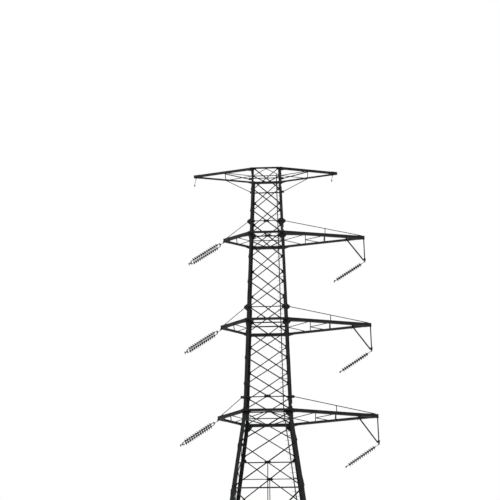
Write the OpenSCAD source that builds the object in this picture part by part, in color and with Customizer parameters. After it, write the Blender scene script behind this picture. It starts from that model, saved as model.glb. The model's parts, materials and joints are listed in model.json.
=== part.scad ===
// Lattice transmission pylon: double-circuit angle suspension tower.
// Millimetres, +Z up, origin on the ground at the tower's centre line.
// Front is -Y; the conductors run along Y and are held in the clamps.

/* [Tower body] */
// Height of the bottom crossarm, where the legs bend
bottom_arm_z = 22550; // [22200:10:22900]
// Height from the bottom to the top crossarm
cage_h = 11900; // [11600:10:12200]
// Height from the top to the earth-wire crossarm
head_h = 4800; // [4600:10:5000]
// Half of the body's width at the earth-wire crossarm
top_half_w = 920; // [870:5:970]
// Half of the body's width at the bend
waist_half_w = 1420; // [1360:1:1480]
// Half of the distance between the feet
base_half_w = 4350; // [4100:10:4600]

/* [Panels] */
// Panels of bracing between the earth-wire and the top crossarm
head_panels = 3; // [2:1:4]
// Panels of bracing between the top and the bottom crossarm; the middle one carries the middle crossarm
cage_panels = 7; // [5:2:9]
// Each of those panels is shorter than the one above by this much
panel_step = 20; // [0:5:40]
// Height of the first panel under the bend
neck_h = 1990; // [1900:10:2100]
// Height of the second panel under the bend
chest_h = 2730; // [2600:10:2900]
// Height of the third panel
hip_h = 4630; // [4400:10:4900]
// Height of the fourth panel, down to the knee and the leg bracing
knee_h = 5800; // [5500:10:6000]

/* [Steel sections] */
// Flange of the upper leg angle
upper_leg_b = 140; // [130:5:160]
// Flange of the upper leg angle under its splice
mid_leg_b = 190; // [175:5:200]
// Thickness of the upper leg angle
upper_leg_t = 14; // [12:1:16]
// Flange of the lower leg angle
lower_leg_b = 220; // [205:5:240]
// Thickness of the lower leg angle
lower_leg_t = 20; // [16:1:24]
// Flange of the cage's diagonal angles
cage_bar_b = 60; // [50:5:70]
// Flange of the diagonals under the bend
body_bar_b = 75; // [65:5:85]
// Standing flange of the outer diagonals
outer_stand = 45; // [35:1:55]
// Flange of the short redundant angles
thin_bar_b = 50; // [45:5:60]
// Thickness of all bracing angles
bar_t = 7; // [6.5:0.5:8]
// Flange of the phase crossarms' chord angles
arm_chord_b = 170; // [150:5:180]
// Thickness of the chord angles
arm_chord_t = 14; // [12:1:16]
// Flange of the earth-wire crossarm's chord angles
earth_chord_b = 130; // [110:5:140]
// Thickness of gusset and cleat plates
plate_t = 10; // [9:1:12]

/* [Crossarms] */
// Reach of the earth-wire crossarm to the left
earth_left = 4820; // [4600:10:5000]
// Reach of the earth-wire crossarm to the right
earth_right = 4670; // [4500:10:4900]
// Reach of the top crossarm to the left
top_left = 2810; // [2700:10:2900]
// Reach of the top crossarm to the right
top_right = 6250; // [6100:10:6400]
// Reach of the middle crossarm to the left
middle_left = 2910; // [2800:10:3000]
// Reach of the middle crossarm to the right
middle_right = 6390; // [6250:10:6550]
// Reach of the bottom crossarm to the left
bottom_left = 3020; // [2900:10:3150]
// Reach of the bottom crossarm to the right
bottom_right = 6530; // [6400:10:6700]
// Height of the ties' upper ends above the crossarm
tie_rise = 820; // [780:5:860]
// Drop of the bracket under each right arm
bracket_drop = 1720; // [1600:10:1850]
// Distance from the bracket's foot in to the top of its diagonal
bracket_reach = 1100; // [900:10:1300]
// Flange of the brackets' angles
bracket_bar_b = 65; // [55:5:75]

/* [Insulator strings] */
// Discs in one string
discs = 13; // [11:1:14]
// Spacing of the discs
disc_pitch = 146; // [140:1:150]
// Radius of a disc
disc_r = 127; // [120:1:135]
// Distance between the two strings of a left pair
twin_gap = 450; // [400:10:500]
// Swing of the strings from plumb towards -X, as the pulled conductors hold them
swing = 56; // [50:1:60]
// Swing of the earth-wire clamps from plumb
earth_swing = 8; // [0:1:15]
// Radius of the shackle pins
pin_r = 12; // [10:0.5:14]
// Radius of the conductor's groove in a clamp
conductor_r = 14; // [11:0.5:16]

/* [Climbing rail] */
// Distance of the rail from the front right leg's heel at the rail's top
rail_in_top = 265; // [245:5:290]
// The same distance at the bend
rail_in_bend = 480; // [450:10:500]
// The same distance at the rail's foot
rail_in_foot = 640; // [560:10:680]
// Distance of the rail's middle behind the front face
rail_depth = 150; // [140:5:180]
// Width of the rail's channel
rail_b = 60; // [50:5:70]
// Height of the rail's foot
rail_foot_z = 2600; // [2400:10:2700]
// Drop of the rail's head under the earth-wire crossarm
rail_head_drop = 420; // [350:10:600]

/* [Feet] */
// Side of a base plate
base_plate_w = 700; // [640:10:760]
// Thickness of a base plate
base_plate_t = 30; // [25:1:40]
// Spacing of the anchor bolts
anchor_pitch = 500; // [440:10:540]
// Radius of an anchor bolt hole
anchor_r = 22; // [18:1:26]

/* [Hidden] */
steel = "#565b5e";
porcelain = "#4a2f25";

seat = 0.3;                // gap between bolted pieces
bite = 1;                  // depth by which fused pieces enter each other
bar_lift = 3;              // from a gusset's seat to the bar let into it
gusset_t = 8;              // thickness of the gussets on the legs
end_cover = 52;            // cover of a gusset round a bar's end
slot_n = seat + bar_lift + bar_t - 0.5;  // floor of the slots that let a chord pass
chord_n = slot_n + seat;   // back of the chords, outside the diagonals
heel_gap = 125;            // from a leg's heel to the end of a bracing bar
head_cut = 20;             // from the earth-wire crossarm's middle down to the first diagonals' ends
clip = 18;                 // free height over and under a chord where flanges are clipped
leg_over = 80;             // rise of the legs over the earth-wire crossarm's middle
splice_h = 600;            // height of the cover angles where two lengths of a leg meet
cover_t = 10;              // thickness of those cover angles
cover_in = 25;             // from a leg's edge in to its cover angle's edge
fin_in = 58;               // from a leg's heel to the middle of a fin that takes a tie

top_arm_z = bottom_arm_z + cage_h;
earth_arm_z = top_arm_z + head_h;
neck_z = bottom_arm_z - neck_h;
chest_z = neck_z - chest_h;
hip_z = chest_z - hip_h;
knee_z = hip_z - knee_h;

upper_slope = (waist_half_w - top_half_w) / (earth_arm_z - bottom_arm_z);
lower_slope = (base_half_w - waist_half_w) / bottom_arm_z;

// Half width of the body at height z
function half_w(z) = z >= bottom_arm_z
    ? waist_half_w - upper_slope * (z - bottom_arm_z)
    : waist_half_w + lower_slope * (bottom_arm_z - z);
function slope(z) = z >= bottom_arm_z ? upper_slope : lower_slope;
// Distance up a face from the bend
function face_v(z) = (z - bottom_arm_z) * sqrt(1 + pow(slope(z), 2));
function leg_t(z) = z >= bottom_arm_z ? upper_leg_t : lower_leg_t;

function cage_z(i) = top_arm_z - i * (cage_h / cage_panels + panel_step * (cage_panels - 1) / 2)
    + panel_step * i * (i - 1) / 2;
head_levels = [for (i = [0 : head_panels]) earth_arm_z - i * (earth_arm_z - top_arm_z) / head_panels];
cage_levels = concat(head_levels, [for (i = [1 : cage_panels]) cage_z(i)]);
mid_panel = (cage_panels - 1) / 2;
mid_foot_w = half_w(cage_z(mid_panel + 1)) - heel_gap;
mid_head_w = half_w(cage_z(mid_panel)) - heel_gap;
// The middle crossarm lies where the diagonals of the middle panel cross
middle_arm_z = round(crossing(cage_z(mid_panel + 1), cage_z(mid_panel), mid_foot_w, mid_head_w));
// From there up to where the inner diagonal's standing flange passes the middle of the face
mid_rise = (cage_bar_b - bar_t) / 2 / (mid_foot_w + mid_head_w)
    * norm([mid_foot_w + mid_head_w, cage_z(mid_panel) - cage_z(mid_panel + 1)]);

// Crossarms: height, reach left, reach right, chord flange
arms = [
    [earth_arm_z, earth_left, earth_right, earth_chord_b],
    [top_arm_z, top_left, top_right, arm_chord_b],
    [middle_arm_z, middle_left, middle_right, arm_chord_b],
    [bottom_arm_z, bottom_left, bottom_right, arm_chord_b]
];
tie_levels = [for (i = [1 : 3]) arms[i][0] + tie_rise];
// The knee braces start where the first panel's diagonals cross
first_z = head_levels[0] - head_cut;
brace_z = round(crossing(head_levels[1], first_z, half_w(head_levels[1]) - heel_gap,
    half_w(first_z) - heel_gap));

// Outline of an angle section: flat flange from n, standing flange of height h on one edge
function angle_pts(b, t, n, side, edge, h) = [
    for (p = [[-b / 2, 0], [b / 2, 0], [b / 2, h], [b / 2 - t, h], [b / 2 - t, t], [-b / 2, t]])
        [edge * p[0], n + side * p[1]]
];
function unit(v) = v / norm(v);

// Face frame: x across the face, y up along it, z outwards; z = 0 is the legs' outer surface
module on_face(k, s) {
    rotate([0, 0, 90 * k])
        translate([0, -waist_half_w, bottom_arm_z])
            rotate([90 - atan(s), 0, 0])
                children();
}

// Angle bar in a face between two points [x, y]
module face_bar(p, q, b, t, n, side, edge = 1, stand = 0) {
    translate([p[0], p[1], 0])
        rotate([0, 0, atan2(q[1] - p[1], q[0] - p[0])])
            rotate([90, 0, 90])
                linear_extrude(norm(q - p))
                    polygon(angle_pts(b, t, n, side, edge, stand > 0 ? stand : b));
}

// Flat plate in a face
module face_plate(points, n0, n1) {
    translate([0, 0, n0])
        linear_extrude(n1 - n0)
            polygon(points);
}

// Section swept from p to q, its x axis square to ref: as a rule level, with its y axis upwards
module sweep(p, q, ref = [0, 0, 1]) {
    e = unit(q - p);
    a = unit(cross(ref, e));
    c = cross(e, a);
    multmatrix([
        [a[0], c[0], e[0], p[0]],
        [a[1], c[1], e[1], p[1]],
        [a[2], c[2], e[2], p[2]],
        [0, 0, 0, 1]
    ])
        linear_extrude(norm(q - p))
            children();
}

// Angle bar in space: flat flange level, standing flange up or down on one edge
module level_angle(p, q, b, t, side = 1, edge = 1) {
    sweep(p, q)
        polygon(angle_pts(b, t, 0, side, edge, b));
}

// Legs

// Inner corner of the layer at depth d in a leg whose flanges stand phi apart
function leg_corner(d, phi) = [d * (1 + cos(phi)) / sin(phi) * cos(phi) + d * sin(phi), d];
// Section of a leg from depth t0 to t1: both flanges lie in the faces, a little off square
function leg_pts(b, t0, t1, phi) = let (
    p2 = [cos(phi), sin(phi)],
    q2 = [sin(phi), -cos(phi)]
) [leg_corner(t0, phi), [b, t0], [b, t1], leg_corner(t1, phi), b * p2 + t1 * q2, b * p2 + t0 * q2];

// Carries a section along leg k's heel line from height z0 to z1, with a piece over at each end
module along_leg(k, z0, z1, over, s) {
    e = unit([s, s, 1]);
    p1 = unit([1, 0, 0] - e[0] * e);
    a = cross(e, p1);
    run = sqrt(1 + 2 * s * s);
    rotate([0, 0, 90 * k])
        translate([-waist_half_w, -waist_half_w, bottom_arm_z])
            multmatrix([
                [p1[0], a[0], e[0], 0],
                [p1[1], a[1], e[1], 0],
                [p1[2], a[2], e[2], 0],
                [0, 0, 0, 1]
            ])
                translate([0, 0, (z0 - bottom_arm_z) * run - over])
                    linear_extrude((z1 - z0) * run + 2 * over)
                        children();
}
// Angle between the two flanges of a leg, measured square to it
function leg_angle(s) = let (
    e = unit([s, s, 1])
) acos(unit([1, 0, 0] - e[0] * e) * unit([0, 1, 0] - e[1] * e));

// Layer of a leg from depth t0 to t1 between two levels
module leg(k, z0, z1, b, t0, t1, s) {
    intersection() {
        along_leg(k, z0, z1, b * s * 2 + t1, s)
            polygon(leg_pts(b, t0, t1, leg_angle(s)));
        rotate([0, 0, 90 * k])
            translate([-base_half_w - b, -base_half_w - b, z0])
                cube([base_half_w + b, base_half_w + b, z1 - z0]);
    }
}

// Cover angle inside a leg at a splice
module cover(k, z, b, t, s) {
    leg(k, z - splice_h / 2, z + splice_h / 2, b - cover_in, t - bite, t + cover_t, s);
}

upper_splice = (cage_z(2) + cage_z(3)) / 2;
lower_splices = [hip_z + 0.35 * hip_h, knee_z + 0.35 * knee_h, knee_z * 0.64];
function leg_b(z) = z >= upper_splice ? upper_leg_b : z >= bottom_arm_z ? mid_leg_b : lower_leg_b;

// Two lengths of angle, the upper one cut down to narrower flanges
module upper_leg(k) {
    phi = leg_angle(upper_slope);
    t = upper_leg_t;
    color(steel)
        union() {
            difference() {
                leg(k, bottom_arm_z + seat / 2, earth_arm_z + leg_over, mid_leg_b, 0, t, upper_slope);
                along_leg(k, upper_splice, earth_arm_z + 2 * leg_over, 0, upper_slope)
                    for (m = [0, 1])
                        rotate(phi / 2)
                            mirror([0, m])
                                rotate(-phi / 2)
                                    translate([upper_leg_b, -t])
                                        square([mid_leg_b, 3 * t]);
            }
            cover(k, upper_splice, upper_leg_b, t, upper_slope);
        }
}

module lower_leg(k) {
    color(steel)
        union() {
            leg(k, base_plate_t + seat, bottom_arm_z - seat / 2, lower_leg_b, 0, lower_leg_t, lower_slope);
            for (z = lower_splices)
                cover(k, z, lower_leg_b, lower_leg_t, lower_slope);
        }
}

module upper_leg_front_left() { upper_leg(0); }
module upper_leg_front_right() { upper_leg(1); }
module upper_leg_rear_right() { upper_leg(2); }
module upper_leg_rear_left() { upper_leg(3); }
module lower_leg_front_left() { lower_leg(0); }
module lower_leg_front_right() { lower_leg(1); }
module lower_leg_rear_right() { lower_leg(2); }
module lower_leg_rear_left() { lower_leg(3); }

// Base plates, each with four anchor holes and two ribs beside the leg

heel_off = 80;             // from a base plate's middle out to the leg's heel at ground level
rib_h = 260;               // height of a rib
rib_l = 200;               // length of a rib along the plate
rib_toe = 40;              // height of its toe, and width of its top

// Inner face of the leg at height z, seen from the plate's middle
function rib_x(z) = lower_slope * z - heel_off + (lower_leg_t + seat) * sqrt(1 + pow(lower_slope, 2));

// Rib that stands on the plate from height z, against the sloping leg
module base_rib(z) {
    rotate([90, 0, 0])
        linear_extrude(plate_t)
            polygon([[rib_x(z), z], [rib_x(z) + rib_l, z], [rib_x(z) + rib_l, z + rib_toe],
                [rib_x(z + rib_h) + rib_toe, z + rib_h], [rib_x(z + rib_h), z + rib_h]]);
}

module base_plate() {
    half = base_plate_w / 2;
    difference() {
        translate([-half, -half, 0])
            cube([base_plate_w, base_plate_w, base_plate_t]);
        for (x = [-1, 1], y = [-1, 1])
            translate([x * anchor_pitch / 2, y * anchor_pitch / 2, -1])
                cylinder(r = anchor_r, h = base_plate_t + 2, $fn = 48);
    }
    base_rib(base_plate_t - bite);
    mirror([1, -1, 0])
        base_rib(base_plate_t - bite);
}

module base_plates() {
    color(steel)
        for (k = [0 : 3])
            rotate([0, 0, 90 * k])
                translate([heel_off - base_half_w, heel_off - base_half_w, 0])
                    base_plate();
}

// Bracing of the cage: one X in each panel, outer and inner bar bolted at the crossing

// Height across a panel at which its two diagonals cross
function crossing(vb, vt, wb, wt) = vb + (vt - vb) * wb / (wb + wt);

// Gusset at a bar's end, spreading from it towards sx, sy
module gusset(x, y, sx, sy, g, n0, n1) {
    face_plate([[x - sx * end_cover, y - sy * end_cover], [x + sx * g * 0.5, y - sy * end_cover],
        [x + sx * g, y + sy * g * 0.4], [x + sx * g * 0.7, y + sy * g],
        [x - sx * end_cover, y + sy * g * 0.6]], n0, n1);
}

cross_l = 150;             // half length of the plates where main diagonals cross
cross_h = 68;              // half height of those plates

// The two diagonals of a panel with their gussets, packed apart where they cross; plated ones have
// a plate there instead of the packing
module panel_x(z0, z1, b, g, plated) {
    v0 = face_v(z0);
    v1 = face_v(z1);
    w0 = half_w(z0) - heel_gap;
    w1 = half_w(z1) - heel_gap;
    inner = -leg_t((z0 + z1) / 2) - seat;
    deep = inner - bar_lift - bite;
    face_bar([-w0, v0], [w1, v1], b, bar_t, seat + bar_lift, 1, 1, outer_stand);
    face_bar([-w1, v1], [w0, v0], b, bar_t, inner - bar_lift, -1, 1);
    translate([0, crossing(v0, v1, w0, w1), 0])
        if (plated)
            face_plate([for (p = [[-1, 0], [-0.6, -1], [0.6, -1], [1, 0], [0.6, 1], [-0.6, 1]])
                [p[0] * cross_l, p[1] * cross_h]], deep, seat + bar_lift + bite);
        else
            translate([0, 0, deep])
                cylinder(r = b * 0.3, h = seat + bar_lift + bite - deep, $fn = 32);
    gusset(-w0, v0, 1, 1, g, seat, seat + gusset_t);
    gusset(w1, v1, -1, -1, g, seat, seat + gusset_t);
    gusset(-w1, v1, 1, -1, g, inner - gusset_t, inner);
    gusset(w0, v0, -1, 1, g, inner - gusset_t, inner);
}

// Slots in the outer bars' standing flanges where a chord or strut passes over them
module chord_slots(levels, b) {
    for (z = levels)
        let (v = face_v(z))
            translate([-base_half_w, v - b / 2 - clip, slot_n])
                cube([2 * base_half_w, b + 2 * clip, 300]);
}

cage_gusset = 130;         // reach of the cage's gussets along their bars
bend_cut = 60;             // from the bend up to the last diagonals' ends

module cage_bracing(k) {
    last = len(cage_levels) - 2;
    color(steel)
        on_face(k, upper_slope)
            difference() {
                mirror([1, 0, 0])
                    for (i = [0 : last])
                        panel_x(cage_levels[i + 1] + (i == last ? bend_cut : 0),
                            cage_levels[i] - (i == 0 ? head_cut : 0), cage_bar_b, cage_gusset,
                            i == head_panels - 1 || i == last);
                union() {
                    chord_slots([for (a = arms) a[0]], arm_chord_b);
                    chord_slots(tie_levels, cage_bar_b);
                    chord_slots([brace_z], cage_bar_b);
                }
            }
}

module cage_bracing_front() { cage_bracing(0); }
module cage_bracing_right() { cage_bracing(1); }
module cage_bracing_rear() { cage_bracing(2); }
module cage_bracing_left() { cage_bracing(3); }

// Bracing under the bend: four growing panels with struts, posts and bend gussets

module panel_strut(z, b, n, side, edge) {
    w = half_w(z) - heel_gap;
    v = face_v(z);
    face_bar([-w, v], [w, v], b, bar_t, n, side, edge);
}

neck_gusset = 150;         // reach of the gussets of the first panel under the bend
body_gusset = 190;         // reach of the gussets further down
node_gap = 70;             // from a strut's middle to the ends of the diagonals over and under it
bend_drop = 75;            // from the bottom crossarm's middle down to the bracing's upper end
bend_l = 420;              // length of a bend gusset along the crossarm
bend_h = 390;              // its height along the leg

// Triangular plate inside the bend, beside the leg
module bend_gusset(top, m, n) {
    w = half_w(top) - heel_gap;
    v = face_v(top) - bend_h + 60;
    face_plate([[m * (w + 30), v + bend_h], [m * (w + 65 - bend_l), v + bend_h],
        [m * (w + 65 - bend_l), v + bend_h - 50], [m * (w - 115), v], [m * (w + 65), v]], n - gusset_t, n);
}

module lower_bracing(k) {
    inner = -lower_leg_t - seat;
    post_n = inner - bar_lift - bar_t;
    top = bottom_arm_z - bend_drop;
    levels = [top, neck_z, chest_z, hip_z, knee_z];
    color(steel)
        on_face(k, lower_slope)
            difference() {
                union() {
                    for (i = [0 : 3])
                        panel_x(levels[i + 1] + node_gap, levels[i] - node_gap,
                            i < 2 ? cage_bar_b : body_bar_b, i == 0 ? neck_gusset : body_gusset, i > 0);
                    // struts through the crossings, and posts down from them and up in the tall panels
                    for (i = [1 : 3]) {
                        z1 = levels[i] - node_gap;
                        z0 = levels[i + 1] + node_gap;
                        zc = crossing(z0, z1, half_w(z0) - heel_gap, half_w(z1) - heel_gap);
                        panel_strut(zc, thin_bar_b, post_n + 2, -1, -1);
                        face_bar([0, face_v(i > 1 ? levels[i] : zc)], [0, face_v(levels[i + 1])],
                            thin_bar_b, bar_t, post_n + 3.5, -1, 1);
                    }
                    // struts at the panels' feet
                    for (i = [2 : 4])
                        panel_strut(levels[i], i == 4 ? body_bar_b : cage_bar_b, inner - bite, -1, -1);
                    for (m = [-1, 1])
                        bend_gusset(top, m, inner - 0.1);
                }
                chord_slots([bottom_arm_z], arm_chord_b);
            }
}

module lower_bracing_front() { lower_bracing(0); }
module lower_bracing_right() { lower_bracing(1); }
module lower_bracing_rear() { lower_bracing(2); }
module lower_bracing_left() { lower_bracing(3); }

// Bracing of the legs under the knee: one raking main bar with redundants, left and right

base_foot_z = 420;         // height of the raking bar's foot
base_steps = 4;
base_head = 110;           // from the face's middle to a raking bar's head
head_gap = 90;             // from the knee strut's middle down to the raking bar's head
leg_lap = 140;             // from a leg's heel to the end of a redundant bar
rake_extra = 10;           // the raking bar's flange is that much wider than the diagonals'

module base_bracing_half() {
    inner = -lower_leg_t - seat;
    z1 = knee_z - head_gap;
    z0 = base_foot_z;
    top = [-base_head, face_v(z1)];
    foot = [-(half_w(z0) - heel_gap - 20), face_v(z0)];
    face_bar(foot, top, body_bar_b + rake_extra, bar_t + 1, inner, -1, -1);
    function rake(f) = foot + f * (top - foot);
    function on_leg(f) = let (z = z0 + f * (z1 - z0)) [-(half_w(z) - leg_lap), face_v(z)];
    redundants = concat(
        [for (i = [1 : base_steps - 1]) [on_leg(i / base_steps), rake(i / base_steps), 0.5]],
        [for (i = [1 : base_steps - 2]) [rake(i / base_steps), on_leg((i + 1) / base_steps), 1]],
        [[rake(0.76), on_leg(0.97), 1]]
    );
    for (r = redundants)
        face_bar(r[0], r[1], thin_bar_b, bar_t - 1.5, inner - r[2], -1, 1);
}

module base_bracing(k) {
    color(steel)
        on_face(k, lower_slope)
            for (m = [0, 1])
                mirror([m, 0, 0])
                    base_bracing_half();
}

module base_bracing_front() { base_bracing(0); }
module base_bracing_right() { base_bracing(1); }
module base_bracing_rear() { base_bracing(2); }
module base_bracing_left() { base_bracing(3); }

// Level frame between the middles of the four faces at the knee

// Underside of the knee struts' level flanges, on which the frame is bolted
knee_seat_z = knee_z - seat - (body_bar_b / 2 + (lower_leg_t + seat + bite + body_bar_b) * lower_slope)
    / sqrt(1 + pow(lower_slope, 2));

module knee_diaphragm() {
    reach = half_w(knee_z) - lower_leg_t - body_bar_b;
    color(steel)
        union()
            for (k = [0 : 3])
                rotate([0, 0, 90 * k])
                    translate([0, 0, knee_seat_z - k * 0.15]) {
                        level_angle([-reach, 0, 0], [0, -reach, 0], cage_bar_b, bar_t, -1);
                        level_angle([0, 0, -2], [0, 40 - reach, -2], thin_bar_b, bar_t, -1);
                    }
}

// Climbing rail: a channel inside the front right leg, held off it by level brackets

// Distance from the leg's heel to the rail at height z
function rail_in(z) = z >= bottom_arm_z
    ? rail_in_bend + (rail_in_top - rail_in_bend) * (z - bottom_arm_z) / (rail_head_z - bottom_arm_z)
    : rail_in_bend + (rail_in_foot - rail_in_bend) * (bottom_arm_z - z) / (bottom_arm_z - rail_foot_z);
function rail_at(z) = [half_w(z) - rail_in(z), rail_depth - half_w(z), z];

rail_head_z = earth_arm_z - rail_head_drop;
rail_h = 40;               // depth of the channel
rail_t = 6;                // its thickness
rail_lap = 6;              // lap of the rail's two lengths at the bend
cleat_h = 110;             // height of a cleat on the leg
cleat_in = 15;             // from the leg's edge to the cleat's
heel_clear = 40;           // from the leg's heel to the cleat
first_bracket = 400;       // from the rail's foot up to its first bracket
rail_share = 0.2;          // the brackets stand this share of a panel above its foot
rail_bracket_z = concat(
    [for (i = [1, 3]) head_levels[i] + rail_share * (head_levels[i - 1] - head_levels[i])],
    [for (i = [2 : 2 : cage_panels - 1]) cage_z(i) + rail_share * (cage_z(i - 1) - cage_z(i))],
    [neck_z + rail_share * neck_h, chest_z + rail_share * chest_h, hip_z + rail_share * hip_h,
        knee_z + rail_share * knee_h, rail_foot_z + first_bracket]
);

module rail_length(z0, z1) {
    over = rail_lap * unit(rail_at(z1) - rail_at(z0));
    sweep(rail_at(z0) - over, rail_at(z1) + over, [0, 1, 0])
        difference() {
            square([rail_b, rail_h], center = true);
            translate([0, rail_t])
                square([rail_b - 2 * rail_t, rail_h], center = true);
        }
}

// Level plate from the rail to a cleat on the leg's other flange
module rail_bracket(z) {
    w = half_w(z);
    v = face_v(z) - cleat_h / 2;
    n = -leg_t(z) - seat;
    lap = leg_b(z) - cleat_in;
    x = rail_at(z)[0] + rail_b / 4;
    y = rail_at(z)[1];
    d = (rail_h - rail_t) / 2;
    difference() {
        translate([0, 0, z])
            linear_extrude(plate_t)
                polygon([[w, heel_clear + 10 - w], [w, lap - 10 - w], [x, y + d], [x, y - d]]);
        on_face(1, slope(z))
            translate([-w, v - cleat_h, n - plate_t / 2])
                cube([w, 3 * cleat_h, w]);
    }
    on_face(1, slope(z))
        face_plate([[heel_clear - w, v], [lap - w, v], [lap - w, v + cleat_h], [heel_clear - w, v + cleat_h]],
            n - plate_t, n);
}

module climbing_rail() {
    color(steel)
        union() {
            rail_length(rail_foot_z, bottom_arm_z);
            rail_length(bottom_arm_z, rail_head_z);
            for (z = rail_bracket_z)
                rail_bracket(z);
        }
}

// Crossarms: a flat diamond frame through the body, with plates at the tips

tip_half = 60;             // half depth of an arm at its tip
tip_l = 420;               // length of the plates at an arm's tip
tip_over = 8;              // the same plates' reach past the tip
hanger_t = 20;             // thickness of the plates that take a shackle
hanger_drop = 145;         // from the chord's middle down to the pin
hanger_r = 36;             // radius of their eyes
hanger_in = 40;            // from a left tip in to its pin
plate_in = 5;              // depth by which plates enter the chords
gusset_in = 260;           // reach of a level gusset along the body's front
gusset_side = 240;         // its reach along the body's side
gusset_out = 330;          // its reach along the arm's chord
gusset_side_w = 60;        // its width along the side
strut_off = 40;            // from a cross strut to the plan bar that ends beside it

// Half depth of an arm at distance x from the tower's middle
function arm_y(x, w, reach) = let (c = w + chord_n)
    c + (tip_half - c) * (x - c) / (reach - c);

// Plate in the XZ plane with an eye for a shackle pin; its eye is at the origin
module eye_plate(h, top_w) {
    rotate([90, 0, 0])
        translate([0, 0, -hanger_t / 2])
            linear_extrude(hanger_t)
                difference() {
                    union() {
                        circle(r = hanger_r, $fn = 64);
                        polygon([[-hanger_r, 0], [hanger_r, 0], [top_w / 2, h], [-top_w / 2, h]]);
                    }
                    circle(r = pin_r + 0.05, $fn = 64);
                }
}

// One arm towards +X; stations are the distances of its cross struts
module arm(z, w, reach, b, stations) {
    c = w + chord_n;
    g = c + slope(z - 1) * (b / 2 + plate_t);
    t = arm_chord_t;
    zb = z - b / 2;
    zs = zb + bar_t - 2;
    alpha = atan((c - tip_half) / (reach - c));
    start = b * tan(alpha) + 6;
    e = [cos(alpha), sin(alpha), 0];
    run = norm([reach - c, c - tip_half]);
    for (m = [0, 1])
        mirror([0, m, 0]) {
            // chord: vertical flange outside, level flange inwards at the bottom, cut off past the middle
            intersection() {
                sweep([c, -c, z] + start * e, [c, -c, z] + run * e)
                    polygon([[0, -b / 2], [b, -b / 2], [b, -b / 2 + t], [t, -b / 2 + t], [t, b / 2],
                        [0, b / 2]]);
                translate([0, -2 * c, z - b])
                    cube([2 * reach, 2 * c + 2, 2 * b]);
            }
            // level gusset round the outside of the leg
            out = -c + gusset_out * tan(alpha);
            translate([0, 0, zb - plate_t])
                linear_extrude(plate_t + plate_in)
                    polygon([[c - gusset_in, -g], [g, -g], [g, gusset_side - c],
                        [c + gusset_side_w, gusset_side - c], [c + gusset_out, out + b * 0.7],
                        [c + gusset_out, out + 3], [c + 10, 20 - c - b], [c - gusset_in, 20 - c - b]]);
        }
    // cross struts between the chords
    for (x = stations) {
        y = arm_y(x, w, reach) - t * 1.4;
        level_angle([x, -y, zs], [x, y, zs], thin_bar_b, bar_t);
    }
    // plan bracing, opening outwards from the middle of the face or strut before it
    for (i = [0 : len(stations) - 1]) {
        x0 = i == 0 ? c + strut_off : stations[i - 1];
        x1 = stations[i] - strut_off;
        y1 = arm_y(x1, w, reach) - b * 0.45;
        for (m = [-1, 1])
            level_angle([x0, m * 12, zs - 1], [x1, m * y1, zs - 1], thin_bar_b, bar_t - 1);
    }
    // tip plates under and over the chords, and the end plate
    yt = arm_y(reach - tip_l, w, reach);
    for (zz = [zb - plate_t, z + b / 2 - plate_in])
        translate([0, 0, zz])
            linear_extrude(plate_t + plate_in)
                polygon([[reach - tip_l, 3 - yt], [reach + tip_over, -tip_half],
                    [reach + tip_over, tip_half], [reach - tip_l, yt - 3]]);
}

chord_lap = 110;           // the chords' reach past the body's heels
pack_b = 90;               // side of a packing plate between chord and leg

// Stretch of a crossarm through the body: chords on the front and rear, struts on the sides
module arm_waist(z, b, packed) {
    s = slope(z);
    w = half_w(z);
    v = face_v(z);
    for (k = [0, 2])
        on_face(k, s)
            face_bar([-w - chord_lap, v], [w + chord_lap, v], b, arm_chord_t, chord_n, 1, -1);
    for (k = [1, 3])
        on_face(k, s)
            face_bar([-w + 10, v - b / 2 + cage_bar_b / 2], [w - 10, v - b / 2 + cage_bar_b / 2],
                cage_bar_b, bar_t, chord_n, 1, -1);
    // packings between chord and leg where no diagonal ends, at the bend on the upper leg alone
    foot = z > bottom_arm_z ? -pack_b / 2 : 2;
    for (k = [0, 2], m = packed)
        on_face(k, s)
            translate([m * (w - pack_b) - pack_b / 2, v + foot, seat])
                cube([pack_b, pack_b / 2 - foot, chord_n - seat + bite]);
}

strut_gap = 14;            // the plan diamond's corners lie that much inside the chords' backs
// From a face in to the inner edge of the inner diagonals' standing flanges, and a seat past it
inner_reach = (upper_leg_t + seat + bar_lift + cage_bar_b + seat) * sqrt(1 + pow(upper_slope, 2));

// Strut through the middle of the body, between the side struts
module arm_middle(z, b, half) {
    zs = z - b / 2 + bar_t - 2.5;
    level_angle([-half, 0, zs], [half, 0, zs], cage_bar_b, bar_t);
}

// Strut between the side faces' inner diagonals, where these cross the outer ones
module diagonals_strut() {
    zs = middle_arm_z + mid_rise + bar_t / 2;
    half = half_w(zs) - inner_reach;
    level_angle([-half, 0, zs], [half, 0, zs], cage_bar_b, bar_t, -1);
}

// Level bars between the middles of the body's four sides
module plan_diamond(z, b) {
    side = half_w(z) + chord_n - strut_gap;
    for (k = [0 : 3])
        rotate([0, 0, 90 * k])
            translate([0, 0, z - b / 2 + bar_t - 3 - k * 0.2])
                level_angle([-side, 0, 0], [0, -side, 0], thin_bar_b, bar_t);
}

// Stations of the cross struts as shares of the way from the leg to the tip
function stations(w, reach, shares) = [for (f = shares) w + f * (reach - w)];

right_shares = [0.27, 0.5];
left_shares = [0.5];

module phase_crossarm(i, packed, through) {
    z = arms[i][0];
    w = half_w(z);
    b = arms[i][3];
    color(steel)
        union() {
            arm_waist(z, b, packed);
            if (through) {
                arm_middle(z, b, w + chord_n + strut_off);
                plan_diamond(z, b);
            } else
                diagonals_strut();
            arm(z, w, arms[i][2], b, stations(w, arms[i][2], right_shares));
            mirror([1, 0, 0])
                arm(z, w, arms[i][1], b, stations(w, arms[i][1], left_shares));
            translate([hanger_in - arms[i][1], 0, z - hanger_drop])
                eye_plate(hanger_drop - b / 2, 180);
        }
}

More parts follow.
